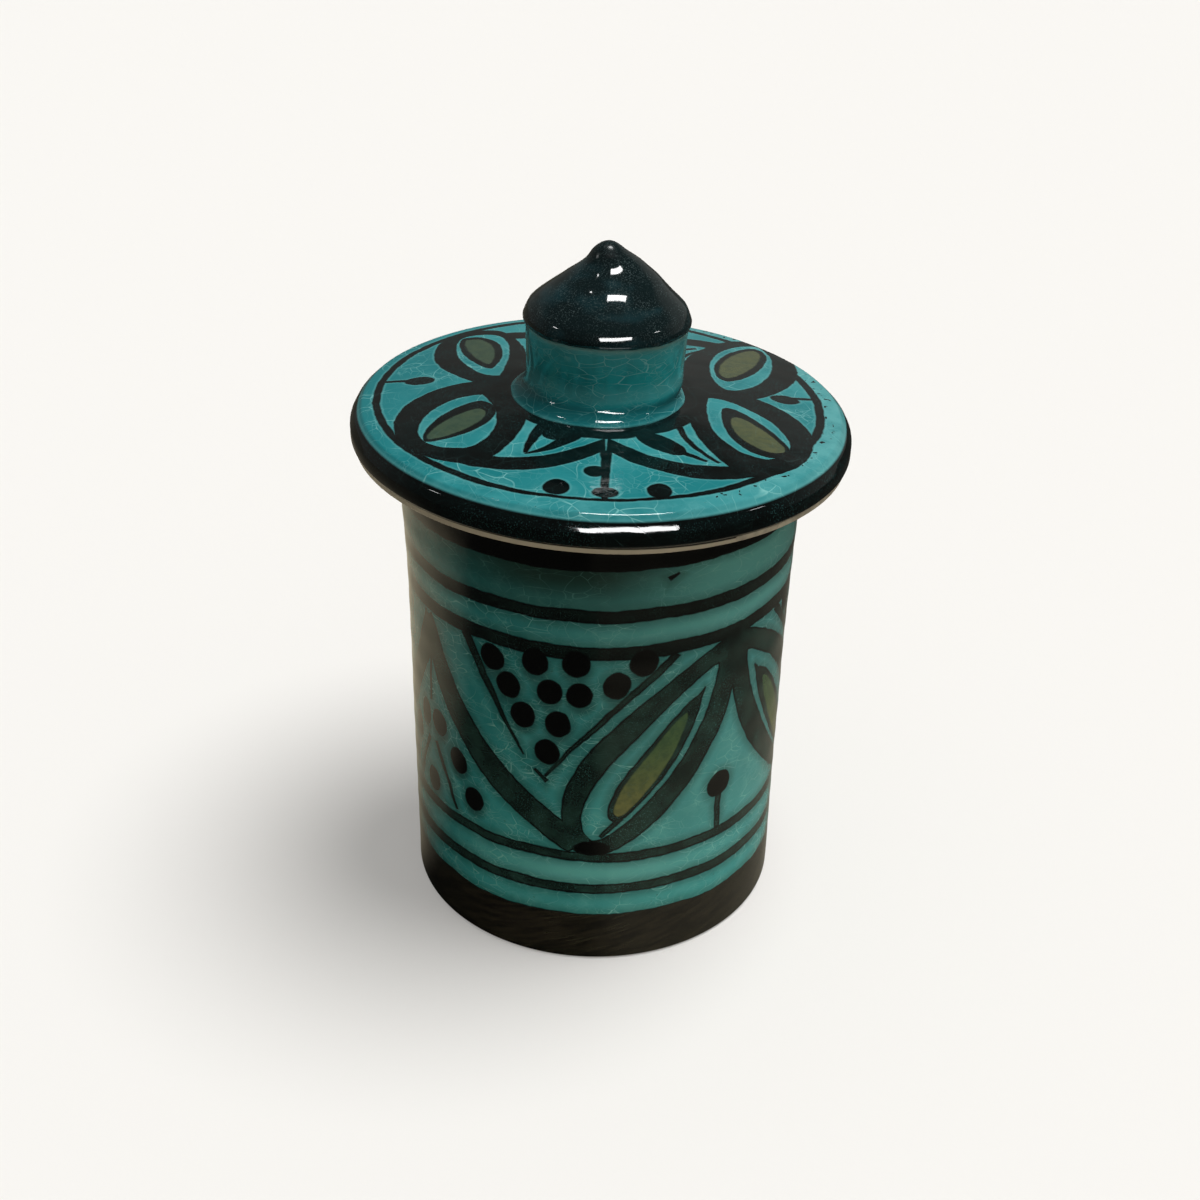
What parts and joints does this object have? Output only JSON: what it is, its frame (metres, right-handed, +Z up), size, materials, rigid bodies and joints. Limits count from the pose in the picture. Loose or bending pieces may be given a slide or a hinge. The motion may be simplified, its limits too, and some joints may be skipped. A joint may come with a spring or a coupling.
{
  "type": "lidded spice jar",
  "caption": "Hand-thrown ceramic spice jar with a wide loose lid and a pointed knob, turquoise crackle glaze over black leaf, dot and band decoration.",
  "frame": {"origin": "middle of the jar's foot, on the surface it stands on", "axes": "+Z up along the jar's axis, towards the knob's point; -Y towards the pictured front"},
  "size_m": [0.09, 0.09, 0.1312],
  "materials": {
    "jar_glaze": "glossy turquoise crackle glaze over black brush decoration",
    "lid_glaze": "glossy turquoise crackle glaze over black brush decoration, bare clay underneath",
    "knob_glaze": "glossy teal crackle glaze on the neck, speckled blue-black on the cap"
  },
  "bodies": {
    "jar": {"jar_body": "jar_glaze"},
    "lid": {"lid_plate": "lid_glaze", "lid_knob": "knob_glaze"}
  },
  "joints": [
    {"name": "lid_lift", "type": "slide", "parent": "jar", "child": "lid", "axis": [0, 0, 1], "range_m": [0, 0.09]}
  ]
}
